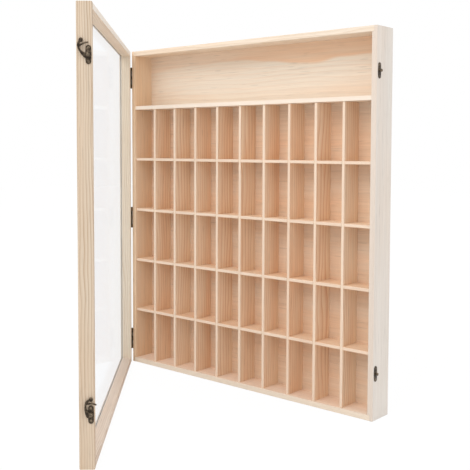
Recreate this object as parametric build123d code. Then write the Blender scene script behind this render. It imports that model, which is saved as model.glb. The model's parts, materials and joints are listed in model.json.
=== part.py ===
from build123d import *
import math
import os

# Figurine display case: a shallow pine wall case with a grid of compartments
# behind a framed and glazed door, which hangs on three butt hinges at the left
# and is held shut by two hook latches at the right.
# Millimetres, +Z up, +X towards the latches, the front faces -Y.
# The origin is the centre of the case's back face, which lies on the wall.

# Compartments
columns = 10
rows = 5
cell_width = 47.7
cell_height = 92.0
top_compartment_height = 95.0

# Boards of the case
wall = 9.0
case_depth = 47.0
back_thickness = 4.0
back_seat = 4.5
corner_seat = 4.0
shelf_thickness = 7.0
shelf_seat = 3.0
shelf_setback = 1.0
edge_round = 1.2
arris = 0.5

# Grid of thin boards
grid_thickness = 5.0
grid_setback = 3.0

# Clearances between boards
board_fit = 0.2
lap_fit = 0.1

# Screw holes in the back panel, in the second column from each side
wall_hole_radius = 2.25
wall_hole_column = 2

# Door frame and pane
door_depth = 20.0
frame_width = 9.0
pane_thickness = 1.8
pane_seat = 3.0
pane_lip = 1.4
pane_fit = 0.1
door_gap = 0.6
door_open_angle = 47.0

# Butt hinges, with heights above the bottom of the case
hinge_heights = {"top": 550.0, "middle": 282.0, "bottom": 45.0}
hinge_length = 40.0
knuckle_count = 5
knuckle_gap = 0.3
barrel_radius = 2.4
hinge_pin_radius = 1.35
leaf_width = 14.0
leaf_thickness = 1.0
leaf_corner = 2.0
leaf_screw_inset = 5.5
leaf_screw_spacing = 24.0
running_fit = 0.05
hinge_clearance = 0.3

# Wood screws of the hinges
hinge_screw_head = 2.2
hinge_screw_radius = 1.15
screw_bite = 6.5
screw_sides = 12

# Hook latches and their keepers
latch_from_top = 67.0
latch_from_bottom = 73.0
latch_inset = 4.4
keeper_inset = 7.4
plate_thickness = 1.0
plate_length = 24.0
plate_middle_radius = 4.1
plate_end_radius = 3.5
plate_screw_spacing = 17.0
plate_screw_head = 1.7
plate_screw_dome = 0.5
plate_screw_radius = 0.9
boss_radius = 3.2
boss_height = 0.9
rivet_radius = 1.3
rivet_head_radius = 2.3
rivet_head_height = 1.2
bevel = 0.5
peg_radius = 1.4
peg_head_radius = 2.3
peg_head_height = 1.6

# Hook, drawn with its arm level and its pivot at the origin
hook_thickness = 1.5
hook_gap = 0.1
hub_radius = 3.6
hub_start_angle = 170.0
hub_end_angle = 30.0
heel_radius = 6.2
heel_angle = 112.0
heel_bulge = 0.9
arm_rise = 7.6
arm_arch = 1.4
claw_clearance = 0.3
claw_width = 1.8
claw_root_angle = 24.0
claw_notch_angle = 13.0
claw_tip_angle = -25.0
neck_reach = 4.4
neck_width = 2.0
neck_arch = 1.1
tab_radius = 2.7
tab_thickness = 3.2
tab_bevel = 1.0
upper_hook_angle = 117.0
lower_hook_angle = 89.0

# Overall sizes
cell_pitch = cell_width + grid_thickness
row_pitch = cell_height + grid_thickness
inner_width = columns * cell_pitch - grid_thickness
grid_height = rows * row_pitch - grid_thickness
inner_height = grid_height + shelf_thickness + top_compartment_height
case_width = inner_width + 2 * wall
case_height = inner_height + 2 * wall

# Heights and depths that several pieces share
bottom_z = -case_height / 2
floor_z = bottom_z + wall
shelf_z = floor_z + grid_height
ceiling_z = shelf_z + shelf_thickness + top_compartment_height
side_x = case_width / 2
front_y = -case_depth
grid_front_y = front_y + grid_setback
grid_back_y = -back_thickness
grid_lap_y = (grid_front_y + grid_back_y) / 2
door_inner_y = front_y - door_gap
door_outer_y = door_inner_y - door_depth
pane_y = door_outer_y + pane_lip + pane_fit + pane_thickness / 2
groove_width = pane_thickness + 2 * pane_fit

# Hinge axis, clear of the wood by the same gap as the barrels need
barrel_offset = barrel_radius + hinge_clearance
hinge_x = -side_x - barrel_offset
hinge_y = front_y - door_gap / 2

# Latch positions on the right-hand faces of the closed door and of the case
latch_y = door_inner_y - latch_inset
keeper_y = front_y + keeper_inset
latch_reach = keeper_y - latch_y
latch_heights = {
    "upper": bottom_z + case_height - latch_from_top,
    "lower": bottom_z + latch_from_bottom,
}
boss_top = plate_thickness + boss_height
hook_level = boss_top + hook_gap
hook_top = hook_level + hook_thickness


def block(x, y, z):
    """A board given by its low and high limits along each axis."""
    limits = (x, y, z)
    size = [high - low for low, high in limits]
    middle = [(high + low) / 2 for low, high in limits]
    return Pos(*middle) * Box(*size)


def turned(*points):
    """A solid turned about the Z axis from its half outline of (radius, height)."""
    outline = make_face(Polyline(*points, close=True))
    return revolve(Plane.XZ * outline, Axis.Z)


def headed(radius, low, high):
    """A round head with a flat underside and a bevelled top edge."""
    return turned((0, low), (radius, low), (radius, high - bevel), (radius - bevel, high), (0, high))


def screw_form(radius, low, high, top_radius=None):
    """A straight or tapered length of a screw, or of its hole, with flat sides."""
    ends = [(radius, low), (top_radius or radius, high)]
    turns = [side * 360 / screw_sides for side in range(screw_sides)]
    base, top = [[Vector(r, 0, z).rotate(Axis.Z, turn) for turn in turns] for r, z in ends]
    flats = [base[::-1], top]
    for side in range(screw_sides):
        following = (side + 1) % screw_sides
        flats.append([base[side], base[following], top[following], top[side]])
    return Solid(Shell([make_face(Polyline(*corners, close=True)) for corners in flats]))


def on_right(y, z):
    """A place on the right-hand faces of case and door, looking out of the wood."""
    return Plane(origin=(side_x, y, z), x_dir=(0, 1, 0), z_dir=(1, 0, 0)).location


def on_left(y, z):
    """A place on the left-hand faces of case and door, looking out of the wood."""
    return Plane(origin=(-side_x, y, z), x_dir=(0, -1, 0), z_dir=(-1, 0, 0)).location


def pilot_holes(places, radius):
    """Pilot holes for the screws that stand at these places."""
    hole = screw_form(radius + running_fit, -screw_bite - running_fit, 0)
    return [place * hole for place in places]


def hinge_screw_places(side):
    """Screws of all hinge leaves: side is 1 on the case and -1 on the door."""
    inset = leaf_width - leaf_screw_inset
    halves = (-leaf_screw_spacing / 2, leaf_screw_spacing / 2)
    heights = [bottom_z + height + half for height in hinge_heights.values() for half in halves]
    return [on_left(hinge_y + side * inset, z) for z in heights]


def plate_screw_places(y):
    """Screws of both latch plates or both keepers, which share one y."""
    halves = (-plate_screw_spacing / 2, plate_screw_spacing / 2)
    return [on_right(y, z + half) for z in latch_heights.values() for half in halves]


# Case boards


def ease_upright(upright):
    """Rounds the long outer edges of a right-hand upright and eases its ends."""
    long_edges = upright.faces().sort_by(Axis.X)[-1].edges().filter_by(Axis.Z)
    rounded = fillet(long_edges, edge_round)
    ends = rounded.faces().filter_by(Axis.Z)
    return chamfer(ends.edges().filter_by(lambda e: e.center().X > side_x - wall + arris), arris)


def side_board(sign, holes):
    """A full-height side, rebated for the back panel and for the top and bottom boards."""
    inner = inner_width / 2
    step = inner + back_seat
    outline = Polyline(
        (inner, front_y),
        (side_x, front_y),
        (side_x, 0),
        (step, 0),
        (step, -back_thickness),
        (inner, -back_thickness),
        close=True,
    )
    board = extrude(Pos(0, 0, bottom_z) * make_face(outline), case_height, dir=(0, 0, 1))
    board = ease_upright(board)
    front_arris = board.edges().filter_by(Axis.Z).sort_by(lambda e: e.center().Y + e.center().X)[0]
    board = chamfer(front_arris, arris)
    seat = (inner, inner + corner_seat)
    board -= block(seat, (front_y, 0), (bottom_z, floor_z))
    board -= block(seat, (front_y, 0), (ceiling_z, -bottom_z))
    shelf_span = (front_y + shelf_setback, 0)
    groove = (shelf_z - lap_fit, shelf_z + shelf_thickness + lap_fit)
    board -= block((inner, inner + shelf_seat), shelf_span, groove)
    if sign < 0:
        board = mirror(board, Plane.YZ)
    return board - holes


def end_board(sign):
    """The top or bottom board, let into the sides and rebated for the back panel."""
    inner = inner_height / 2
    outer = case_height / 2
    step = inner + back_seat
    outline = Polyline(
        (front_y, inner),
        (front_y, outer),
        (0, outer),
        (0, step),
        (-back_thickness, step),
        (-back_thickness, inner),
        close=True,
    )
    length = inner_width + 2 * (corner_seat - lap_fit)
    section = Plane.YZ.offset(-length / 2) * make_face(outline)
    board = extrude(section, length, dir=(1, 0, 0))
    long_edges = board.faces().sort_by(Axis.Z)[-1].edges().filter_by(Axis.X)
    board = fillet(long_edges, edge_round)
    front_arris = board.edges().filter_by(Axis.X).sort_by(lambda e: e.center().Y + e.center().Z)[0]
    board = chamfer(front_arris, arris)
    if sign < 0:
        board = mirror(board, Plane.XY)
    return board


def back_panel():
    """The panel behind the compartments, with four holes for the screws to the wall."""
    half_width = inner_width / 2 + back_seat - board_fit
    half_height = inner_height / 2 + back_seat - board_fit
    panel = block((-half_width, half_width), (-back_thickness, 0), (-half_height, half_height))
    for x in (-wall_hole_x, wall_hole_x):
        for z in wall_hole_heights:
            panel -= Pos(x, -back_thickness / 2, z) * Rot(90, 0, 0) * Cylinder(
                wall_hole_radius, back_thickness
            )
    return panel


def display_shelf():
    """The thick shelf between the open top compartment and the grid."""
    half = inner_width / 2 + shelf_seat - board_fit
    depth = (front_y + shelf_setback, -back_thickness)
    shelf = block((-half, half), depth, (shelf_z, shelf_z + shelf_thickness))
    front = shelf.faces().sort_by(Axis.Y)[0].edges().filter_by(Axis.X)
    return chamfer(front, arris)


# Grid of thin boards, halved into each other


def divider_x(number):
    """Middle of a divider, counted from 1 at the left."""
    return -inner_width / 2 + number * cell_pitch - grid_thickness / 2


def grid_shelf_z(number):
    """Middle of a thin shelf, counted from 1 at the top."""
    return shelf_z - number * row_pitch + grid_thickness / 2


def lap_slot(middle):
    """Limits of a slot that takes the other board's thickness."""
    half = grid_thickness / 2 + lap_fit
    return (middle - half, middle + half)


def grid_board(x, z):
    """One thin board of the grid with its front edges eased."""
    board = block(x, (grid_front_y, grid_back_y - lap_fit), z)
    long_axis = Axis.Z if z[1] - z[0] > x[1] - x[0] else Axis.X
    front = board.faces().sort_by(Axis.Y)[0].edges().filter_by(long_axis)
    return chamfer(front, arris)


def divider(number):
    """An upright board from the bottom to the thick shelf, slotted from behind."""
    x = divider_x(number)
    thickness = (x - grid_thickness / 2, x + grid_thickness / 2)
    board = grid_board(thickness, (floor_z, shelf_z - board_fit))
    slots = [
        block(thickness, (grid_lap_y - lap_fit, grid_back_y), lap_slot(grid_shelf_z(n)))
        for n in range(1, rows)
    ]
    return board - slots


def grid_shelf(number):
    """A thin shelf from side to side, slotted from the front."""
    z = grid_shelf_z(number)
    thickness = (z - grid_thickness / 2, z + grid_thickness / 2)
    half = inner_width / 2 - board_fit
    board = grid_board((-half, half), thickness)
    slots = [
        block(lap_slot(divider_x(n)), (grid_front_y, grid_lap_y + lap_fit), thickness)
        for n in range(1, columns)
    ]
    return board - slots


wall_hole_x = (columns / 2 - wall_hole_column + 0.5) * cell_pitch
wall_hole_heights = (floor_z + cell_height / 2, shelf_z - cell_height / 2)


# Door frame, modelled closed


def door_stile(sign, holes):
    """A full-height upright of the door frame, grooved for the pane."""
    inner = side_x - frame_width
    groove = (inner, inner + pane_seat)
    board = block((inner, side_x), (door_outer_y, door_inner_y), (bottom_z, -bottom_z))
    board = ease_upright(board)
    inner_edges = board.faces().sort_by(Axis.X)[0].edges().filter_by(Axis.Z)
    board = chamfer(inner_edges, arris)
    board -= block(groove, pane_groove_span(), (bottom_z, -bottom_z))
    if sign < 0:
        board = mirror(board, Plane.YZ)
    return board - holes


def pane_groove_span():
    """Limits of the pane's groove through the depth of the door."""
    return (pane_y - groove_width / 2, pane_y + groove_width / 2)


def door_rail(sign):
    """A top or bottom rail between the stiles, with a stub tenon at each end."""
    half = side_x - frame_width
    outer = case_height / 2
    inner = outer - frame_width
    body = block((-half, half), (door_outer_y, door_inner_y), (inner, outer))
    long_edges = body.faces().sort_by(Axis.Z)[-1].edges().filter_by(Axis.X)
    body = fillet(long_edges, edge_round)
    inner_edges = body.faces().sort_by(Axis.Z)[0].edges().filter_by(Axis.X)
    body = chamfer(inner_edges, arris)
    body -= block((-half, half), pane_groove_span(), (inner, inner + pane_seat))
    reach = half + pane_seat - lap_fit
    tongue = (pane_y - pane_thickness / 2, pane_y + pane_thickness / 2)
    body += block((-reach, reach), tongue, (inner + pane_seat, outer))
    if sign < 0:
        body = mirror(body, Plane.XY)
    return body


def door_pane():
    """The clear pane, held in the grooves of the frame."""
    half_width = side_x - frame_width + pane_seat - board_fit
    half_height = case_height / 2 - frame_width + pane_seat - board_fit
    depth = (pane_y - pane_thickness / 2, pane_y + pane_thickness / 2)
    return block((-half_width, half_width), depth, (-half_height, half_height))


# Hinges, each drawn with its pin at the origin


def knuckle_span(index):
    """Low and high ends of a knuckle, counted from 0 at the bottom."""
    pitch = hinge_length / knuckle_count
    low = -hinge_length / 2 + index * pitch
    return (low + knuckle_gap / 2, low + pitch - knuckle_gap / 2)


def hinge_leaf(side):
    """A leaf with its rolled knuckles: side is 1 on the case and -1 on the door."""
    own = 0 if side > 0 else 1
    outer_face = barrel_offset - leaf_thickness
    flange = block(
        (outer_face, barrel_offset),
        (0, leaf_width),
        (-hinge_length / 2 + knuckle_gap / 2, hinge_length / 2 - knuckle_gap / 2),
    )
    corners = flange.edges().filter_by(Axis.X).group_by(Axis.Y)[-1]
    leaf = fillet(corners, leaf_corner)
    for index in range(knuckle_count):
        low, high = knuckle_span(index)
        if index % 2 == own:
            leaf += Pos(0, 0, (low + high) / 2) * Cylinder(barrel_radius, high - low)
        else:
            notch = (low - knuckle_gap, high + knuckle_gap)
            leaf -= block((outer_face, barrel_offset), (0, barrel_offset + hinge_clearance), notch)
    leaf -= Cylinder(hinge_pin_radius + running_fit, hinge_length)
    hole = hinge_screw_radius + running_fit
    sink = screw_form(hole, 0, leaf_thickness, hinge_screw_head + running_fit)
    for z in (-leaf_screw_spacing / 2, leaf_screw_spacing / 2):
        seat = Plane(
            origin=(barrel_offset, leaf_width - leaf_screw_inset, z),
            x_dir=(0, -1, 0),
            z_dir=(-1, 0, 0),
        )
        leaf -= seat.location * sink
    if side < 0:
        leaf = mirror(leaf, Plane.XZ)
    return leaf


def hinge_pin():
    """The pin of a hinge, flush with the ends of the barrel."""
    return Cylinder(hinge_pin_radius, hinge_length - knuckle_gap)


def hinge_screw():
    """A countersunk wood screw whose head lies flush in the leaf."""
    shank = screw_form(hinge_screw_radius, -screw_bite, 0)
    return shank + screw_form(hinge_screw_radius, 0, leaf_thickness, hinge_screw_head)


# Latches, each drawn flat with the wood's face at height 0


def lobed_plate(hole_radius):
    """A long plate with a raised boss in the middle, a hole through it and one near each end."""
    end = plate_length / 2 - plate_end_radius
    circles = Circle(plate_middle_radius).edges()
    for z in (-end, end):
        circles += (Pos(0, z) * Circle(plate_end_radius)).edges()
    plate = extrude(make_hull(circles), plate_thickness)
    plate += Pos(0, 0, boss_top / 2) * Cylinder(boss_radius, boss_top)
    plate -= Pos(0, 0, boss_top / 2) * Cylinder(hole_radius, boss_top)
    hole = plate_screw_radius + running_fit
    for z in (-plate_screw_spacing / 2, plate_screw_spacing / 2):
        plate -= Pos(0, z) * screw_form(hole, 0, plate_thickness)
    return plate


def plate_screw():
    """A round-headed wood screw that holds a latch plate or a keeper."""
    shank = screw_form(plate_screw_radius, -screw_bite, plate_thickness)
    top = plate_thickness + plate_screw_dome
    crown = plate_screw_head - plate_screw_dome
    return shank + screw_form(plate_screw_head, plate_thickness, top, crown)


def rivet():
    """The rivet on which a hook turns."""
    seat = hook_top + hook_gap
    shank = turned((0, running_fit), (rivet_radius, running_fit), (rivet_radius, seat), (0, seat))
    return shank + headed(rivet_head_radius, seat, seat + rivet_head_height)


def keeper_peg():
    """The headed peg that a hook closes on."""
    seat = hook_top + claw_clearance
    stem = turned((0, running_fit), (peg_radius, running_fit), (peg_radius, seat), (0, seat))
    return stem + headed(peg_head_radius, seat, seat + peg_head_height)


def polar(radius, angle):
    """A point of the hook's outline by its distance and angle from the pivot."""
    return Vector(radius, 0).rotate(Axis.Z, angle)


def hook():
    """The swan-necked hook: hub, arched arm, claw round the peg, neck and thumb tab."""
    claw_inner = latch_reach + peg_radius + claw_clearance
    claw_outer = claw_inner + claw_width
    hub_start = polar(hub_radius, hub_start_angle)
    hub_end = polar(hub_radius, hub_end_angle)
    heel = polar(heel_radius, heel_angle)
    arm_end = Vector(claw_outer, arm_rise)
    arm_root = polar(claw_inner, claw_root_angle)
    notch = polar(claw_outer, claw_notch_angle)
    tip = polar((claw_inner + claw_outer) / 2, claw_tip_angle)
    tab = Vector(claw_outer + neck_reach, 0)
    neck_edge = polar(neck_width / 2, 45)
    outline = [
        CenterArc((0, 0), hub_radius, hub_start_angle, 360 + hub_end_angle - hub_start_angle),
        SagittaArc(hub_end, arm_root, arm_arch),
        CenterArc((0, 0), claw_inner, claw_tip_angle, claw_root_angle - claw_tip_angle),
        CenterArc(tip, claw_width / 2, 180 + claw_tip_angle, 180),
        CenterArc((0, 0), claw_outer, claw_tip_angle, claw_notch_angle - claw_tip_angle),
        SagittaArc(notch, tab - neck_edge, neck_arch),
        Line(tab - neck_edge, tab + neck_edge),
        SagittaArc(arm_end, tab + neck_edge, neck_arch),
        SagittaArc(heel, arm_end, arm_arch),
        SagittaArc(hub_start, heel, heel_bulge),
    ]
    body = Pos(0, 0, hook_level) * extrude(make_face(outline), hook_thickness, dir=(0, 0, 1))
    middle = hook_level + hook_thickness / 2
    rim = turned(
        (0, -tab_thickness / 2),
        (tab_radius - tab_bevel, -tab_thickness / 2),
        (tab_radius, -tab_thickness / 2 + tab_bevel),
        (tab_radius, tab_thickness / 2 - tab_bevel),
        (tab_radius - tab_bevel, tab_thickness / 2),
        (0, tab_thickness / 2),
    )
    body += Pos(tab.X, tab.Y, middle) * rim
    return body - Pos(0, 0, middle) * Cylinder(rivet_radius + running_fit, hook_thickness)


# Assembly: the pieces of the case stay, those of the door swing to the open pose

swing_open = (
    Pos(hinge_x, hinge_y, 0) * Rot(0, 0, -door_open_angle) * Pos(-hinge_x, -hinge_y, 0)
)
case_hinge_screws = hinge_screw_places(1)
door_hinge_screws = hinge_screw_places(-1)
latch_screws = plate_screw_places(latch_y)
keeper_screws = plate_screw_places(keeper_y)

case_pieces = {
    "case_left_side": side_board(-1, pilot_holes(case_hinge_screws, hinge_screw_radius)),
    "case_right_side": side_board(1, pilot_holes(keeper_screws, plate_screw_radius)),
    "case_top": end_board(1),
    "case_bottom": end_board(-1),
    "back_panel": back_panel(),
    "display_shelf": display_shelf(),
}
for number in range(1, rows):
    case_pieces[f"grid_shelf_{number}"] = grid_shelf(number)
for number in range(1, columns):
    case_pieces[f"divider_{number}"] = divider(number)

door_pieces = {
    "door_hinge_stile": door_stile(-1, pilot_holes(door_hinge_screws, hinge_screw_radius)),
    "door_latch_stile": door_stile(1, pilot_holes(latch_screws, plate_screw_radius)),
    "door_top_rail": door_rail(1),
    "door_bottom_rail": door_rail(-1),
    "door_pane": door_pane(),
}

for name, height in hinge_heights.items():
    place = Pos(hinge_x, hinge_y, bottom_z + height)
    case_pieces[f"hinge_case_leaf_{name}"] = place * hinge_leaf(1)
    case_pieces[f"hinge_pin_{name}"] = place * hinge_pin()
    door_pieces[f"hinge_door_leaf_{name}"] = place * hinge_leaf(-1)
case_pieces["hinge_case_screws"] = [place * hinge_screw() for place in case_hinge_screws]
door_pieces["hinge_door_screws"] = [place * hinge_screw() for place in door_hinge_screws]

hook_angles = {"upper": upper_hook_angle, "lower": lower_hook_angle}
for name, z in latch_heights.items():
    keeper = on_right(keeper_y, z)
    latch = on_right(latch_y, z)
    case_pieces[f"keeper_plate_{name}"] = keeper * lobed_plate(peg_radius + running_fit)
    case_pieces[f"keeper_peg_{name}"] = keeper * keeper_peg()
    door_pieces[f"latch_plate_{name}"] = latch * lobed_plate(rivet_radius + running_fit)
    door_pieces[f"latch_rivet_{name}"] = latch * rivet()
    door_pieces[f"hook_{name}"] = latch * Rot(0, 0, hook_angles[name]) * hook()
case_pieces["keeper_screws"] = [place * plate_screw() for place in keeper_screws]
door_pieces["latch_screws"] = [place * plate_screw() for place in latch_screws]


def as_shape(piece):
    """One shape for a node: a solid, or a group of separate ones."""
    solids = piece if isinstance(piece, list) else [piece]
    return Compound(children=[solid for shape in solids for solid in shape.solids()])


nodes = {name: as_shape(piece) for name, piece in case_pieces.items()}
for name, piece in door_pieces.items():
    nodes[name] = swing_open * as_shape(piece)

os.makedirs("parts", exist_ok=True)
for name, shape in nodes.items():
    export_step(shape, f"parts/{name}.step")
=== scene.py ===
import json
import math

import bmesh
import bpy
from mathutils import Matrix, Vector


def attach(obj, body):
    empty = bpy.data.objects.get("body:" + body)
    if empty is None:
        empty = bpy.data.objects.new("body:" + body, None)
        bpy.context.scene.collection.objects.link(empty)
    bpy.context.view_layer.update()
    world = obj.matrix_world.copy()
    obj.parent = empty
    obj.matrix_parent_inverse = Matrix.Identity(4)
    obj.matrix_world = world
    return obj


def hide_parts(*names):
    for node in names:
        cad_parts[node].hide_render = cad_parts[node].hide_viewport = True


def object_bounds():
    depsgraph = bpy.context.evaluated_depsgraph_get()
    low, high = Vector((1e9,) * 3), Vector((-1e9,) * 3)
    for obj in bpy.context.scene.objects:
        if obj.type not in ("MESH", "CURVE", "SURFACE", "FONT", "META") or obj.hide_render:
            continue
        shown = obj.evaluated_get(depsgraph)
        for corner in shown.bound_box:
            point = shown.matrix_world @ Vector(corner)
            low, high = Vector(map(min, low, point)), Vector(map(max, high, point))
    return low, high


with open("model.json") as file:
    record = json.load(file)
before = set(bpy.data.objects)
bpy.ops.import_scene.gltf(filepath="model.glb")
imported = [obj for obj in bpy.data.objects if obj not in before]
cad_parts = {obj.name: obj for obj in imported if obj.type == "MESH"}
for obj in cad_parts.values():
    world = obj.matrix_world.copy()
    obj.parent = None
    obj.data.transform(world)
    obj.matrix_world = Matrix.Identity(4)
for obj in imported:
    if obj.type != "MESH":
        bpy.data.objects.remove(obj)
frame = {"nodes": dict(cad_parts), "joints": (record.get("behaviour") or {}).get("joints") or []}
nodes = frame["nodes"]
cad_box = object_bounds()


# Case sides
# Two full-height boards of planed, unfinished pine, rebated for the back panel and
# stepped for the top and bottom boards. The grain runs up them. Their CAD shapes stay,
# and every board gets growth rings, warmer patches, fibres and resin lines of its own.


def add_input(tree, name, kind, value=None):
    """A named input of a node group, with its default value if it needs one."""
    socket = tree.interface.new_socket(name, in_out="INPUT", socket_type="NodeSocket" + kind)
    if value is not None:
        socket.default_value = value


def give(tree, socket, value):
    """Links a socket to another one, or sets it to a number, colour or vector."""
    if isinstance(value, bpy.types.NodeSocket):
        tree.links.new(value, socket)
    else:
        socket.default_value = value


def maths(tree, operation, *values):
    """One Math node, whose inputs are numbers or sockets."""
    node = tree.nodes.new("ShaderNodeMath")
    node.operation = operation
    for socket, value in zip(node.inputs, values):
        give(tree, socket, value)
    return node.outputs[0]


def vectors(tree, operation, *values):
    """One Vector Math node, whose inputs are vectors or sockets."""
    node = tree.nodes.new("ShaderNodeVectorMath")
    node.operation = operation
    for socket, value in zip(node.inputs, values):
        give(tree, socket, value)
    return node.outputs[0]


def place_on_piece(tree):
    """Where a point of the piece lies, in metres."""
    return tree.nodes.new("ShaderNodeTexCoord").outputs["Object"]


def mapped(tree, **settings):
    """Places on the piece with a location, rotation or scale applied."""
    node = tree.nodes.new("ShaderNodeMapping")
    tree.links.new(place_on_piece(tree), node.inputs["Vector"])
    for name, value in settings.items():
        node.inputs[name.capitalize()].default_value = value
    return node.outputs[0]


def axes_of(tree, place):
    """The x, y and z of a place."""
    node = tree.nodes.new("ShaderNodeSeparateXYZ")
    tree.links.new(place, node.inputs[0])
    return node.outputs


def noise(tree, place, scale, detail, roughness, output="Fac"):
    """Soft random levels from 0 to 1."""
    node = tree.nodes.new("ShaderNodeTexNoise")
    node.inputs["Scale"].default_value = scale
    node.inputs["Detail"].default_value = detail
    node.inputs["Roughness"].default_value = roughness
    tree.links.new(place, node.inputs["Vector"])
    return node.outputs[output]


def ramp(tree, factor, *stops):
    """Grey levels laid over a factor, as pairs of place and level."""
    node = tree.nodes.new("ShaderNodeValToRGB")
    elements = node.color_ramp.elements
    while len(elements) < len(stops):
        elements.new(0.5)
    for element, (place, level) in zip(elements, stops):
        element.position = place
        element.color = (level, level, level, 1.0)
    tree.links.new(factor, node.inputs["Fac"])
    return node.outputs["Color"]


def mixed(tree, factor, first, second, blend="MIX"):
    """One Mix Color node, whose inputs are values or sockets."""
    node = tree.nodes.new("ShaderNodeMix")
    node.data_type = "RGBA"
    node.blend_type = blend
    sockets = (node.inputs[0], node.inputs[6], node.inputs[7])
    for socket, value in zip(sockets, (factor, first, second)):
        give(tree, socket, value)
    return node.outputs[2]


def bumped(tree, height, strength, distance):
    """A normal bent by a height pattern."""
    node = tree.nodes.new("ShaderNodeBump")
    node.inputs["Strength"].default_value = strength
    node.inputs["Distance"].default_value = distance
    tree.links.new(height, node.inputs["Height"])
    return node.outputs[0]


def pine_grain():
    """Pine as a node group: rings about a pith, warm patches, fibres and resin lines."""
    tree = bpy.data.node_groups.new("pine grain", "ShaderNodeTree")
    add_input(tree, "Place", "Vector")
    for name in ("Early wood", "Late wood", "Warm wood", "Painted light wood"):
        add_input(tree, name, "Color")
    add_input(tree, "Ring width", "Float")
    add_input(tree, "Ring strength", "Float", 1.0)
    add_input(tree, "Patch strength", "Float", 1.0)
    add_input(tree, "Figure", "Float", 0.0)
    add_input(tree, "Painted light mask", "Float", 0.0)
    for name, kind in (("Colour", "Color"), ("Roughness", "Float"), ("Normal", "Vector")):
        tree.interface.new_socket(name, in_out="OUTPUT", socket_type="NodeSocket" + kind)
    given = tree.nodes.new("NodeGroupInput").outputs
    result = tree.nodes.new("NodeGroupOutput").inputs
    place = given["Place"]

    def grained(across, along, detail, roughness=0.55, output="Fac"):
        """Noise with so many waves to the metre across the grain, and fewer along it."""
        stretched = vectors(tree, "MULTIPLY", place, (across, across, along))
        return noise(tree, stretched, 1.0, detail, roughness, output)

    ring_wander = 0.024
    sway = grained(across=13.0, along=3.4, detail=3.0, roughness=0.5, output="Color")
    centred = vectors(tree, "SUBTRACT", sway, (0.5, 0.5, 0.5))
    bent = vectors(tree, "MULTIPLY_ADD", centred, (ring_wander, ring_wander, 0.0), place)
    across, inward, _ = axes_of(tree, bent)
    squares = maths(
        tree, "MULTIPLY_ADD", inward, inward, maths(tree, "MULTIPLY", across, across)
    )
    years = maths(tree, "DIVIDE", maths(tree, "SQRT", squares), given["Ring width"])
    within = maths(tree, "FRACT", years)
    season = ramp(tree, within, (0.0, 0.0), (0.4, 0.06), (0.76, 0.5), (0.9, 1.0), (1.0, 0.0))
    clouds = grained(across=30.0, along=4.0, detail=2.0)
    fading = ramp(tree, clouds, (0.3, 0.25), (0.65, 1.0))
    rings = maths(tree, "MULTIPLY", season, fading)
    rings = maths(tree, "MULTIPLY", rings, given["Ring strength"])

    fibres = grained(across=1100.0, along=20.0, detail=4.0, roughness=0.6)
    streaks = grained(across=170.0, along=3.0, detail=3.0)
    resin = grained(across=520.0, along=26.0, detail=1.0)
    patches = grained(across=17.0, along=2.6, detail=3.0, roughness=0.6)
    patches = ramp(tree, patches, (0.42, 0.0), (0.66, 1.0))

    warmth = maths(tree, "MULTIPLY_ADD", patches, given["Patch strength"], given["Figure"])
    warmth = maths(tree, "MINIMUM", warmth, 1.0)
    ground = mixed(tree, warmth, given["Early wood"], given["Warm wood"])
    colour = mixed(tree, rings, ground, given["Late wood"])
    for pattern, *stops in (
        (fibres, (0.3, 0.93), (0.7, 1.03)),
        (streaks, (0.25, 0.94), (0.75, 1.04)),
        (resin, (0.66, 1.0), (0.74, 0.86)),
    ):
        colour = mixed(tree, 1.0, colour, ramp(tree, pattern, *stops), "MULTIPLY")

    # Painted light: where the mask is set, a tone that stands for how that part is lit is mixed in.
    painted_light_share = 0.7
    paler = mixed(tree, painted_light_share, colour, given["Painted light wood"])
    colour = mixed(tree, given["Painted light mask"], colour, paler)
    smoothest, roughened = 0.52, 0.16
    roughness = maths(tree, "MULTIPLY_ADD", fibres, roughened, smoothest)
    fibre_height, relief_strength, relief_depth = 0.6, 0.35, 0.00012
    relief = maths(tree, "MULTIPLY_ADD", fibres, fibre_height, rings)
    tree.links.new(colour, result["Colour"])
    tree.links.new(roughness, result["Roughness"])
    tree.links.new(bumped(tree, relief, relief_strength, relief_depth), result["Normal"])
    return tree


PINE_GRAIN = pine_grain()
UPRIGHT = Matrix.Identity(3)
LEVEL = Matrix.Rotation(math.radians(90.0), 3, "Y")
dull_gloss = 0.3


def new_material(name):
    """A new material, its node tree and its shader."""
    material = bpy.data.materials.new(name)
    material.use_nodes = True
    return material, material.node_tree, material.node_tree.nodes["Principled BSDF"]


def pine(name, grain, pith, woods, ring_width):
    """One board's own pine: which way its grain runs, its pith, its colours and its rings."""
    material, tree, shader = new_material(name)
    shader.inputs["Specular IOR Level"].default_value = dull_gloss
    wood = tree.nodes.new("ShaderNodeGroup")
    wood.node_tree = PINE_GRAIN
    for season, colour in zip(("Early wood", "Late wood", "Warm wood"), woods):
        wood.inputs[season].default_value = (*colour, 1.0)
    wood.inputs["Ring width"].default_value = ring_width
    place = mapped(tree, location=pith, rotation=grain.to_euler("XYZ"))
    tree.links.new(place, wood.inputs["Place"])
    tree.links.new(wood.outputs["Colour"], shader.inputs["Base Color"])
    tree.links.new(wood.outputs["Roughness"], shader.inputs["Roughness"])
    tree.links.new(wood.outputs["Normal"], shader.inputs["Normal"])
    return material


def grain_of(material):
    """The pine grain group node of a board's material."""
    return next(node for node in material.node_tree.nodes if node.type == "GROUP")


def paint_light_where(material, where, wood):
    """Painted light: part of a board takes a tone of its own, for how that part is lit."""
    grain = grain_of(material)
    material.node_tree.links.new(where, grain.inputs["Painted light mask"])
    grain.inputs["Painted light wood"].default_value = (*wood, 1.0)
    return material


def paint_front_light(material, start, wood):
    """The board's front face takes a painted tone of its own, for how that face is lit."""
    tree = material.node_tree
    depth = axes_of(tree, place_on_piece(tree))[1]
    return paint_light_where(material, maths(tree, "LESS_THAN", depth, start), wood)


def dress(node, material):
    """A piece that keeps its CAD shape takes this material."""
    for slot in nodes[node].material_slots:
        slot.material = material


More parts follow.
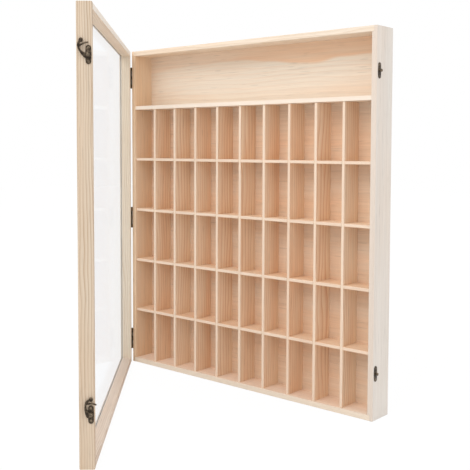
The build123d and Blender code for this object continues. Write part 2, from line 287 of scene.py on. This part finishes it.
right_side_wood = ((0.77, 0.72, 0.665), (0.63, 0.545, 0.47), (0.76, 0.67, 0.59))
right_side_front_light = (0.73, 0.61, 0.51)
right_side_pith = (-0.215, 0.105, 0.3)
# The left side is seen only from inside the cells: its warmer pine is partly its own colour and
# partly painted warm bounce light.
left_side_wood_and_bounce = ((0.90, 0.69, 0.495), (0.76, 0.52, 0.33), (0.86, 0.60, 0.385))
left_side_pith = (0.20, 0.118, 0.0)
side_rings = 0.0034
case_front = -0.0462
right_pine = pine("pine right side", UPRIGHT, right_side_pith, right_side_wood, side_rings)
# Painted light: the right side's front face takes a tone of its own, for how it is lit.
dress("case_right_side", paint_front_light(right_pine, case_front, right_side_front_light))
left_pine = pine("pine left side", UPRIGHT, left_side_pith, left_side_wood_and_bounce, side_rings)
dress("case_left_side", left_pine)


# Top and bottom boards
# The same pine, let in between the sides and glued, with the grain along the board.
# Their CAD shapes stay. The bottom board's pine is paler, painted light on the floors of the
# cells, and its front face takes a darker painted tone of its own.

board_wood = ((0.87, 0.745, 0.61), (0.74, 0.57, 0.41), (0.86, 0.67, 0.50))
board_rings = 0.0036
top_pith = (-0.24, 0.11, 0.1)
# Painted light: the bottom board is paler than the top, for light falling on the cell floors.
lit_floor_bottom_wood = ((0.95, 0.78, 0.645), (0.80, 0.59, 0.44), (0.93, 0.70, 0.53))
bottom_front_light = (0.79, 0.69, 0.56)
bottom_pith = (0.23, 0.09, 0.7)
dress("case_top", pine("pine top", LEVEL, top_pith, board_wood, board_rings))
bottom_pine = pine("pine bottom", LEVEL, bottom_pith, lit_floor_bottom_wood, board_rings)
dress("case_bottom", paint_front_light(bottom_pine, case_front, bottom_front_light))


# Back panel
# A thin panel of wide, calm pine let in flush behind the boards, with the grain from side
# to side and broad warm figure. It keeps its CAD shape and its four screw holes.

panel_wood = ((0.84, 0.725, 0.595), (0.74, 0.51, 0.335), (0.85, 0.565, 0.37))
panel_pith = (0.07, 0.24, 0.2)
panel_ring_width = 0.0062
panel_rings = 0.4
panel_patches = 0.4
figure_waves = (5.0, 1.0, 16.0)
figure_shift = (3.7, 0.0, 0.4)
figure_foot = 0.256
figure_swing = 0.075
figure_blur = 0.014
figure_left = -0.10
figure_right = 0.06
warm_below = 0.196
warm_blur = 0.035
lower_warmth_and_bounce = 0.48


def warm_figure(material):
    """A warm, wavy-edged figure at the top, and even warmth low down: partly painted bounce light.
    """
    tree = material.node_tree
    sideways, _, height = axes_of(tree, place_on_piece(tree))
    waved = mapped(tree, scale=figure_waves, location=figure_shift)
    waves = noise(tree, waved, scale=1.0, detail=2.0, roughness=0.4)
    swing = maths(tree, "MULTIPLY_ADD", waves, figure_swing, -figure_swing / 2)
    level = maths(tree, "SUBTRACT", maths(tree, "ADD", height, swing), figure_foot)
    level = maths(tree, "DIVIDE", level, figure_blur)
    inside = ramp(tree, level, (0.0, 0.0), (0.35, 1.0), (1.0, 0.72))
    along = maths(tree, "SUBTRACT", sideways, figure_left)
    along = maths(tree, "DIVIDE", along, figure_right - figure_left)
    ending = ramp(tree, along, (0.0, 0.3), (1.0, 1.0))
    # Partly painted warm bounce light: an even warmth below the display shelf, behind the cells.
    depth = maths(tree, "DIVIDE", maths(tree, "SUBTRACT", warm_below, height), warm_blur)
    low = ramp(tree, depth, (0.0, 0.0), (1.0, lower_warmth_and_bounce))
    figure = maths(tree, "MULTIPLY_ADD", inside, ending, low)
    tree.links.new(figure, grain_of(material).inputs["Figure"])
    return material


panel_pine = pine("pine back panel", LEVEL, panel_pith, panel_wood, panel_ring_width)
grain_of(panel_pine).inputs["Ring strength"].default_value = panel_rings
grain_of(panel_pine).inputs["Patch strength"].default_value = panel_patches
dress("back_panel", warm_figure(panel_pine))


# Display shelf
# The thick shelf under the top compartment, housed in the sides, with the grain along it
# and a paler front edge that is painted highlight.

shelf_front_light = (0.90, 0.79, 0.68)
shelf_pith = (-0.13, 0.12, 0.4)
shelf_front = -0.0456
shelf_pine = pine("pine display shelf", LEVEL, shelf_pith, board_wood, board_rings)
dress("display_shelf", paint_front_light(shelf_pine, shelf_front, shelf_front_light))


# Grid shelves and dividers
# Thin strips of pine, halved into each other: four shelves with the grain along them and
# nine upright dividers. Their pine is warmer and more saturated than the case's: partly its
# own colour, partly painted warm bounce light of the deep cells. Their front faces take a
# painted tone of their own for how they are lit. Each strip comes from another place in
# the log.

strip_wood_and_bounce = ((0.945, 0.745, 0.555), (0.72, 0.42, 0.245), (0.88, 0.60, 0.40))
strip_rings = 0.0047
strip_front = -0.0436
strip_front_light = (0.81, 0.65, 0.515)
for number in range(1, 5):
    pith = (0.05 * number - 0.02, 0.09 + 0.013 * number, 0.37 * number)
    strip_pine = pine(f"pine grid shelf {number}", LEVEL, pith, strip_wood_and_bounce, strip_rings)
    dress(f"grid_shelf_{number}", paint_front_light(strip_pine, strip_front, strip_front_light))
for number in range(1, 10):
    sideways = 0.31 - 0.0527 * number + 0.017 * (number % 3)
    pith = (sideways, 0.07 + 0.021 * (number % 4), 0.41 * number)
    strip_pine = pine(f"pine divider {number}", UPRIGHT, pith, strip_wood_and_bounce, strip_rings)
    dress(f"divider_{number}", paint_front_light(strip_pine, strip_front, strip_front_light))


# Hinges
# Three butt hinges of rolled brass sheet with an antique bronze finish: a dark brown skin,
# rubbed through a little. Leaves and pins get softened edges, and each countersunk wood
# screw a cross recess, turned as the screwdriver left it.

metal_share = 0.9


def antique_bronze(name, dark, rubbed, smoothest):
    """Chemically darkened brass: mottled brown, lighter where hands have rubbed it."""
    material, tree, shader = new_material(name)
    shader.inputs["Metallic"].default_value = metal_share
    place = place_on_piece(tree)
    clouds = noise(tree, place, scale=260.0, detail=4.0, roughness=0.6)
    specks = noise(tree, place, scale=1900.0, detail=2.0, roughness=0.5)
    wear = ramp(tree, clouds, (0.42, 0.0), (0.7, 0.85))
    colour = mixed(tree, wear, (*dark, 1.0), (*rubbed, 1.0))
    colour = mixed(tree, 1.0, colour, ramp(tree, specks, (0.3, 0.8), (0.7, 1.1)), "MULTIPLY")
    clouding, speck_strength, speck_depth = 0.3, 0.3, 0.00004
    roughness = maths(tree, "MULTIPLY_ADD", clouds, clouding, smoothest)
    tree.links.new(colour, shader.inputs["Base Color"])
    tree.links.new(roughness, shader.inputs["Roughness"])
    tree.links.new(bumped(tree, specks, speck_strength, speck_depth), shader.inputs["Normal"])
    return material


bronze_skin = {"dark": (0.040, 0.030, 0.022), "rubbed": (0.23, 0.17, 0.115), "smoothest": 0.22}
handled_skin = {"dark": (0.13, 0.10, 0.072), "rubbed": (0.42, 0.33, 0.23), "smoothest": 0.18}
BRONZE = antique_bronze("antique bronze", **bronze_skin)
RUBBED_BRONZE = antique_bronze("rubbed bronze", **handled_skin)
weld_within = 1e-6
level_within = 1e-5
flat_within = math.radians(1.0)
sharp_from = math.radians(40.0)
screw_sharp_from = math.radians(35.0)
edge_steps = 2


def fit(name, mesh, body, node):
    """Puts a finished metal piece on its body in place of a CAD node."""
    piece = bpy.data.objects.new(name, mesh)
    bpy.context.scene.collection.objects.link(piece)
    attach(piece, body)
    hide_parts(node)
    return piece


def merged(node):
    """A CAD node's form with its loose triangles joined."""
    form = bmesh.new()
    form.from_mesh(nodes[node].data)
    bmesh.ops.remove_doubles(form, verts=form.verts, dist=weld_within)
    return form


def softened(name, node, body, width):
    """A metal piece with its CAD form and the edges rounded as tumbling leaves them."""
    form = merged(node)
    bmesh.ops.dissolve_limit(form, angle_limit=flat_within, verts=form.verts, edges=form.edges)
    mesh = bpy.data.meshes.new(name)
    form.to_mesh(mesh)
    form.free()
    mesh.shade_smooth()
    mesh.materials.append(BRONZE)
    rounding = fit(name, mesh, body, node).modifiers.new("softened edges", "BEVEL")
    rounding.width = width
    rounding.segments = edge_steps
    rounding.limit_method = "ANGLE"
    rounding.angle_limit = sharp_from
    rounding.harden_normals = True


def solids(node):
    """The corners of each separate solid in a CAD node, always in the same order."""
    form = merged(node)
    taken = set()
    found = []
    for first in form.verts:
        if first in taken:
            continue
        taken.add(first)
        front = [first]
        corners = []
        while front:
            corner = front.pop()
            corners.append(corner.co.copy())
            for edge in corner.link_edges:
                other = edge.other_vert(corner)
                if other not in taken:
                    taken.add(other)
                    front.append(other)
        found.append(corners)
    form.free()
    return found


def tops(node, outward):
    """The middle of each solid's outermost face."""
    middles = []
    for corners in solids(node):
        highest = max(corner.dot(outward) for corner in corners)
        face = [corner for corner in corners if corner.dot(outward) > highest - level_within]
        middles.append(sum(face, Vector()) / len(face))
    return middles


def wood_screws():
    """Screws as a node tree: a flat or domed head with a cross recess, one on each point."""
    tree = bpy.data.node_groups.new("wood screws", "GeometryNodeTree")
    tree.interface.new_socket("Geometry", in_out="OUTPUT", socket_type="NodeSocketGeometry")
    add_input(tree, "Points", "Geometry")
    add_input(tree, "Domed", "Bool", False)
    for name, value in (
        ("Head radius", 0.0021),
        ("Head depth", 0.001),
        ("Shank radius", 0.00115),
        ("Shank length", 0.006),
        ("Recess length", 0.0024),
        ("Recess width", 0.00045),
        ("Recess depth", 0.0007),
    ):
        add_input(tree, name, "Float", value)
    given = tree.nodes.new("NodeGroupInput").outputs

    def made(kind, inputs, **properties):
        """A node with its properties set and its inputs given as values or sockets."""
        node = tree.nodes.new(kind)
        for name, value in properties.items():
            setattr(node, name, value)
        for name, value in inputs.items():
            socket = next(s for s in node.inputs if s.enabled and name in (s.name, s.identifier))
            for entry in value if isinstance(value, list) else [value]:
                give(tree, socket, entry)
        return next(socket for socket in node.outputs if socket.enabled)

    def scaled(value, factor):
        """A size times a number."""
        return maths(tree, "MULTIPLY", value, factor)

    def vector(x, y, z):
        """Three sizes or numbers as one vector."""
        return made("ShaderNodeCombineXYZ", {"X": x, "Y": y, "Z": z})

    def moved(shape, along, **more):
        """A shape moved along the screw, and scaled where a scale is given."""
        place = vector(0.0, 0.0, along)
        return made("GeometryNodeTransform", {"Geometry": shape, "Translation": place, **more})

    joined = {"operation": "UNION", "solver": "EXACT"}
    cut = {"operation": "DIFFERENCE", "solver": "EXACT"}
    head_sides, dome_rings, shank_sides = 32, 16, 16
    depth = given["Head depth"]
    radius = given["Head radius"]
    taper = {"Radius Top": radius, "Radius Bottom": given["Shank radius"], "Depth": depth}
    cone = made("GeometryNodeMeshCone", {"Vertices": head_sides, **taper})
    flat_head = moved(cone, scaled(depth, -1.0))
    round_ball = {"Segments": head_sides, "Rings": dome_rings, "Radius": 1.0}
    ball = made("GeometryNodeMeshUVSphere", round_ball)
    squashed = moved(ball, scaled(depth, -1.0), Scale=vector(radius, radius, depth))
    wide = scaled(radius, 3.0)
    under = made("GeometryNodeMeshCube", {"Size": vector(wide, wide, scaled(depth, 2.0))})
    under = moved(under, scaled(depth, -2.0))
    domed_head = made("GeometryNodeMeshBoolean", {"Mesh 1": squashed, "Mesh 2": under}, **cut)
    either = {"Switch": given["Domed"], "False": flat_head, "True": domed_head}
    head = made("GeometryNodeSwitch", either, input_type="GEOMETRY")

    length = given["Shank length"]
    shank_slimness, shank_start = 0.98, -0.9
    slim = scaled(given["Shank radius"], shank_slimness)
    stem = {"Vertices": shank_sides, "Radius": slim, "Depth": length}
    shank = made("GeometryNodeMeshCylinder", stem)
    shank = moved(shank, maths(tree, "ADD", scaled(depth, shank_start), scaled(length, -0.5)))
    whole = made("GeometryNodeMeshBoolean", {"Mesh 2": [head, shank]}, **joined)
    deep = scaled(given["Recess depth"], 2.0)
    long, narrow = given["Recess length"], given["Recess width"]
    one_way = made("GeometryNodeMeshCube", {"Size": vector(long, narrow, deep)})
    other_way = made("GeometryNodeMeshCube", {"Size": vector(narrow, long, deep)})
    cross = made("GeometryNodeMeshBoolean", {"Mesh 2": [one_way, other_way]}, **joined)
    screw = made("GeometryNodeMeshBoolean", {"Mesh 1": whole, "Mesh 2": cross}, **cut)

    outward = made("GeometryNodeInputNamedAttribute", {"Name": "outward"}, data_type="FLOAT_VECTOR")
    facing = made("FunctionNodeAlignRotationToVector", {"Vector": outward}, axis="Z")
    quarter_turn, seed = math.pi / 2, 7
    spin = made("FunctionNodeRandomValue", {"Max": quarter_turn, "Seed": seed}, data_type="FLOAT")
    driven = made("FunctionNodeAxisAngleToRotation", {"Axis": (0.0, 0.0, 1.0), "Angle": spin})
    pose = {"Rotation": facing, "Rotate By": driven}
    turned = made("FunctionNodeRotateRotation", pose, rotation_space="LOCAL")
    each = {"Points": given["Points"], "Instance": screw, "Rotation": turned}
    placed = made("GeometryNodeInstanceOnPoints", each)
    real = made("GeometryNodeRealizeInstances", {"Geometry": placed})
    finished = made("GeometryNodeSetMaterial", {"Geometry": real, "Material": RUBBED_BRONZE})
    tree.links.new(finished, tree.nodes.new("NodeGroupOutput").inputs["Geometry"])
    return tree


WOOD_SCREWS = wood_screws()


def drive_screws(name, node, body, outward, **sizes):
    """Real screws in place of a CAD node's plain ones."""
    mesh = bpy.data.meshes.new(name)
    mesh.from_pydata(tops(node, outward), [], [])
    directions = mesh.attributes.new("outward", "FLOAT_VECTOR", "POINT")
    for entry in directions.data:
        entry.vector = outward
    carrier = bpy.data.objects.new(name, mesh)
    bpy.context.scene.collection.objects.link(carrier)
    making = carrier.modifiers.new("screws", "NODES")
    making.node_group = WOOD_SCREWS
    for item in WOOD_SCREWS.interface.items_tree:
        key = item.name.lower().replace(" ", "_")
        if key in sizes:
            making[item.identifier] = sizes[key]
    evaluated = carrier.evaluated_get(bpy.context.evaluated_depsgraph_get())
    result = bpy.data.meshes.new_from_object(evaluated)
    bpy.data.objects.remove(carrier)
    result.name = name
    result.shade_smooth()
    result.set_sharp_from_angle(angle=screw_sharp_from)
    fit(name, result, body, node)


swing = next(joint for joint in frame["joints"] if joint["child"] == "door")
OPENED = Matrix.Rotation(-math.radians(swing["range_deg"][0]), 3, Vector(swing["axis"]))
TO_THE_LEFT = Vector((-1.0, 0.0, 0.0))
TO_THE_RIGHT = Vector((1.0, 0.0, 0.0))
leaf_edge = 0.00012
for height in ("top", "middle", "bottom"):
    softened(f"case_leaf_{height}", f"hinge_case_leaf_{height}", "case", leaf_edge)
    softened(f"door_leaf_{height}", f"hinge_door_leaf_{height}", "door", leaf_edge)
    softened(f"pin_{height}", f"hinge_pin_{height}", "case", leaf_edge)
drive_screws("case_hinge_screws", "hinge_case_screws", "case", TO_THE_LEFT)
drive_screws("door_hinge_screws", "hinge_door_screws", "door", OPENED @ TO_THE_LEFT)


# Keepers
# Cast bronze plates with a boss, each held to the case's right-hand face by two
# round-headed screws. The mushroom-headed peg is riveted into the boss.

plate_edge = 0.00035
plate_screw = {
    "domed": True,
    "head_radius": 0.0017,
    "head_depth": 0.0005,
    "shank_radius": 0.0009,
    "recess_length": 0.0019,
    "recess_width": 0.00036,
    "recess_depth": 0.0004,
}
peg = {"shank_radius": 0.0014, "head_radius": 0.0023, "head_height": 0.0016, "lip": 0.0003}


def turned(name, node, body, outward, shank_radius, head_radius, head_height, lip):
    """A turned pin with a domed head, as long as its CAD node and on the same axis."""
    corners = solids(node)[0]
    top = tops(node, outward)[0]
    length = max(top.dot(outward) - corner.dot(outward) for corner in corners)
    seat = length - head_height
    rise = head_height - lip
    sides, dome_steps = 48, 10
    steps = [math.radians(90.0) * step / dome_steps for step in range(dome_steps)]
    outline = [(shank_radius, 0.0), (shank_radius, seat), (head_radius, seat)]
    outline += [(head_radius * math.cos(a), seat + lip + rise * math.sin(a)) for a in steps]
    facing = Vector((0.0, 0.0, 1.0)).rotation_difference(outward).to_matrix()
    foot = top - outward * length
    points = [foot, top]
    for radius, level in outline:
        for side in range(sides):
            angle = math.tau * side / sides
            ring = Vector((radius * math.cos(angle), radius * math.sin(angle), level))
            points.append(foot + facing @ ring)
    faces = []
    last = 2 + (len(outline) - 1) * sides
    for side in range(sides):
        after = (side + 1) % sides
        faces.append((0, 2 + after, 2 + side))
        faces.append((1, last + side, last + after))
        for low in range(2, last, sides):
            high = low + sides
            faces.append((low + side, low + after, high + after, high + side))
    mesh = bpy.data.meshes.new(name)
    mesh.from_pydata(points, [], faces)
    mesh.shade_smooth()
    mesh.set_sharp_from_angle(angle=sharp_from)
    mesh.materials.append(RUBBED_BRONZE)
    fit(name, mesh, body, node)


for height in ("upper", "lower"):
    softened(f"{height}_keeper", f"keeper_plate_{height}", "case", plate_edge)
    turned(f"{height}_peg", f"keeper_peg_{height}", "case", TO_THE_RIGHT, **peg)
drive_screws("keeper_plate_screws", "keeper_screws", "case", TO_THE_RIGHT, **plate_screw)


# Door frame
# Pine strips on edge: two full-height stiles and two rails between them, grooved for the
# pane. The grain follows each strip, and the pattern is turned with the open door. The
# groove, and the top rail's inner face, take a pale painted tone: painted light that lifts
# the shade in the groove and brightens that face.

SHUT = OPENED.inverted()
hinge_stile_wood = ((0.82, 0.735, 0.605), (0.62, 0.48, 0.34), (0.79, 0.67, 0.52))
latch_stile_wood = ((0.70, 0.58, 0.45), (0.42, 0.26, 0.145), (0.66, 0.51, 0.37))
top_rail_wood = ((0.85, 0.735, 0.595), (0.66, 0.49, 0.335), (0.83, 0.67, 0.51))
bottom_rail_wood = ((0.78, 0.68, 0.585), (0.60, 0.45, 0.335), (0.765, 0.625, 0.505))
groove_light_wood = (0.86, 0.84, 0.79)
door_rings = 0.0030
latch_rings = 0.0037
inner_face = 0.0174
no_face = 1.0
groove_play = 0.0003
pane_corners = [SHUT @ corner.co for corner in nodes["door_pane"].data.vertices]
pane_low = Vector([min(corner[axis] for corner in pane_corners) for axis in range(3)])
pane_high = Vector([max(corner[axis] for corner in pane_corners) for axis in range(3)])
pane_middle = (pane_low + pane_high) / 2
groove_reach = (pane_high - pane_low) / 2 + Vector((groove_play, groove_play, groove_play))


def paint_groove_light(material, face_from):
    """Painted light: the pane's groove, and the inner face from a depth on, take a pale tone."""
    tree = material.node_tree
    place = mapped(tree, location=-pane_middle, rotation=SHUT.to_euler("XYZ"))
    shares = vectors(tree, "ABSOLUTE", vectors(tree, "DIVIDE", place, groove_reach))
    across, inward, upward = axes_of(tree, shares)
    farthest = maths(tree, "MAXIMUM", maths(tree, "MAXIMUM", across, inward), upward)
    groove = maths(tree, "LESS_THAN", farthest, 1.0)
    face = maths(tree, "GREATER_THAN", axes_of(tree, place)[1], face_from)
    return paint_light_where(material, maths(tree, "MAXIMUM", groove, face), groove_light_wood)


for node, grain, pith, woods, ring_width, face_from in (
    ("door_hinge_stile", UPRIGHT, (0.33, -0.08, 0.0), hinge_stile_wood, door_rings, no_face),
    ("door_latch_stile", UPRIGHT, (-0.37, -0.02, 0.6), latch_stile_wood, latch_rings, no_face),
    ("door_top_rail", LEVEL, (-0.24, -0.03, 0.2), top_rail_wood, door_rings, inner_face),
    ("door_bottom_rail", LEVEL, (0.26, -0.01, 0.9), bottom_rail_wood, door_rings, no_face),
):
    strip_pine = pine("pine " + node.replace("_", " "), grain @ SHUT, pith, woods, ring_width)
    dress(node, paint_groove_light(strip_pine, face_from))


# Pane
# A thin clear sheet held in the frame's groove. Seen straight on it barely tints what
# lies behind it, at a slant it carries a pale veil that is painted reflection, and it has
# faint wiping marks.

pane_tint = (0.72, 0.84, 1.0, 1.0)
wiped_tint = (0.78, 0.89, 1.0, 1.0)
veil = 0.025
slant_reflection_veil = 0.15


def clear_sheet(name):
    """A sheet that passes light and shadow, with a pale veil, painted reflection, thickening at a
    slant.
    """
    material, tree, shader = new_material(name)
    slant = tree.nodes.new("ShaderNodeFresnel").outputs[0]
    wiping = noise(tree, place_on_piece(tree), scale=9.0, detail=4.0, roughness=0.6)
    tint = mixed(tree, wiping, pane_tint, wiped_tint)
    smoothest, smeared, smear_strength, smear_depth = 0.02, 0.08, 0.05, 0.0002
    roughness = maths(tree, "MULTIPLY_ADD", wiping, smeared, smoothest)
    # Painted reflection: the pale veil that rises at a slant stands in for the glass's own.
    opacity = maths(tree, "MULTIPLY_ADD", slant, slant_reflection_veil, veil)
    tree.links.new(opacity, shader.inputs["Alpha"])
    tree.links.new(tint, shader.inputs["Base Color"])
    tree.links.new(roughness, shader.inputs["Roughness"])
    tree.links.new(bumped(tree, wiping, smear_strength, smear_depth), shader.inputs["Normal"])
    return material


dress("door_pane", clear_sheet("clear pane"))


# Latches
# A plate and boss like the keeper's on the door's edge, with two round-headed screws, and
# the rivet that the hook turns on. The swan-necked hook is cast in one with its thumb tab.

latch_outward = OPENED @ TO_THE_RIGHT
hook_edge = 0.0005
rivet = {"shank_radius": 0.0013, "head_radius": 0.0023, "head_height": 0.0012, "lip": 0.0002}
for height in ("upper", "lower"):
    softened(f"{height}_latch_plate", f"latch_plate_{height}", "door", plate_edge)
    turned(f"{height}_rivet", f"latch_rivet_{height}", "door", latch_outward, **rivet)
    softened(f"{height}_hook", f"hook_{height}", f"hook_{height}", hook_edge)
drive_screws("latch_plate_screws", "latch_screws", "door", latch_outward, **plate_screw)


# Studio
# A white floor under the case, a white surround and soft lamps from the front and the
# right. The camera stands where the photograph was taken from.

floor_gap = 0.0004
floor_reach = 6.0
floor_grey = (0.86, 0.86, 0.86, 1.0)
floor_roughness = 0.9
floor_whiteness = 0.94
floor_glow = 1.02
surround_level = 0.79


def seen_by_eye(tree):
    """1 for rays from the camera or off shiny and clear surfaces, else 0."""
    rays = tree.nodes.new("ShaderNodeLightPath").outputs
    seen = maths(tree, "MAXIMUM", rays["Is Camera Ray"], rays["Is Glossy Ray"])
    return maths(tree, "MAXIMUM", seen, rays["Is Transmission Ray"])


def lay_floor(level, reach):
    """A matt floor that shows nearly white and keeps a faint shadow."""
    corners = [(-reach, -reach), (reach, -reach), (reach, reach), (-reach, reach)]
    mesh = bpy.data.meshes.new("floor")
    mesh.from_pydata([(x, y, level) for x, y in corners], [], [(0, 1, 2, 3)])
    floor = bpy.data.objects.new("floor", mesh)
    bpy.context.scene.collection.objects.link(floor)
    material, tree, shader = new_material("white floor")
    shader.inputs["Base Color"].default_value = floor_grey
    shader.inputs["Roughness"].default_value = floor_roughness
    glow = tree.nodes.new("ShaderNodeEmission")
    glow.inputs["Strength"].default_value = floor_glow
    blend = tree.nodes.new("ShaderNodeMixShader")
    whiteness = maths(tree, "MULTIPLY", seen_by_eye(tree), floor_whiteness)
    for source, socket in zip((whiteness, shader.outputs[0], glow.outputs[0]), blend.inputs):
        tree.links.new(source, socket)
    tree.links.new(blend.outputs[0], tree.nodes["Material Output"].inputs["Surface"])
    mesh.materials.append(material)


def surround(level):
    """An even white surround that lights the case at this level."""
    world = bpy.data.worlds.new("white surround")
    bpy.context.scene.world = world
    world.use_nodes = True
    tree = world.node_tree
    soft = tree.nodes["Background"]
    soft.inputs["Color"].default_value = (1.0, 1.0, 1.0, 1.0)
    strength = maths(tree, "MULTIPLY_ADD", seen_by_eye(tree), 1.0 - level, level)
    tree.links.new(strength, soft.inputs["Strength"])


def softbox(name, place, target, size, power):
    """A square lamp that faces a point."""
    light = bpy.data.lights.new(name, "AREA")
    light.shape = "SQUARE"
    light.size = size
    light.energy = power
    lamp = bpy.data.objects.new(name, light)
    bpy.context.scene.collection.objects.link(lamp)
    lamp.location = place
    lamp.rotation_euler = (Vector(target) - Vector(place)).to_track_quat("-Z", "Y").to_euler()


lay_floor(cad_box[0][2] - floor_gap, floor_reach)
surround(surround_level)
front_lamp = {"place": (-0.1, -2.3, 2.3), "target": (0.0, -0.1, 0.0), "size": 2.0, "power": 44.0}
side_lamp = {"place": (2.8, 0.5, 0.8), "target": (0.1, -0.2, 0.0), "size": 1.6, "power": 14.5}
softbox("front softbox", **front_lamp)
softbox("side softbox", **side_lamp)

frame_pixels = 470.0
focal_pixels = 812.8
raised_pixels = -39.0
camera_place = (0.90598, -1.10642, 0.11601)
camera_turn = (40.772, -3.355, 0.188)
camera_data = bpy.data.cameras.new("camera")
camera_data.sensor_width = 36.0
camera_data.lens = focal_pixels * camera_data.sensor_width / frame_pixels
camera_data.shift_y = raised_pixels / frame_pixels
camera_data.clip_start = 0.01
camera = bpy.data.objects.new("camera", camera_data)
bpy.context.scene.collection.objects.link(camera)
yaw, pitch, roll = (math.radians(angle) for angle in camera_turn)
flat = math.cos(pitch)
forward = Vector((-math.sin(yaw) * flat, math.cos(yaw) * flat, math.sin(pitch)))
level_right = Vector((math.cos(yaw), math.sin(yaw), 0.0))
level_up = level_right.cross(forward)
right = level_right * math.cos(roll) + level_up * math.sin(roll)
up = level_up * math.cos(roll) - level_right * math.sin(roll)
facing = Matrix((right, up, -forward)).transposed().to_4x4()
camera.matrix_world = Matrix.Translation(camera_place) @ facing
bpy.context.scene.camera = camera
bpy.context.scene.view_settings.view_transform = "Standard"
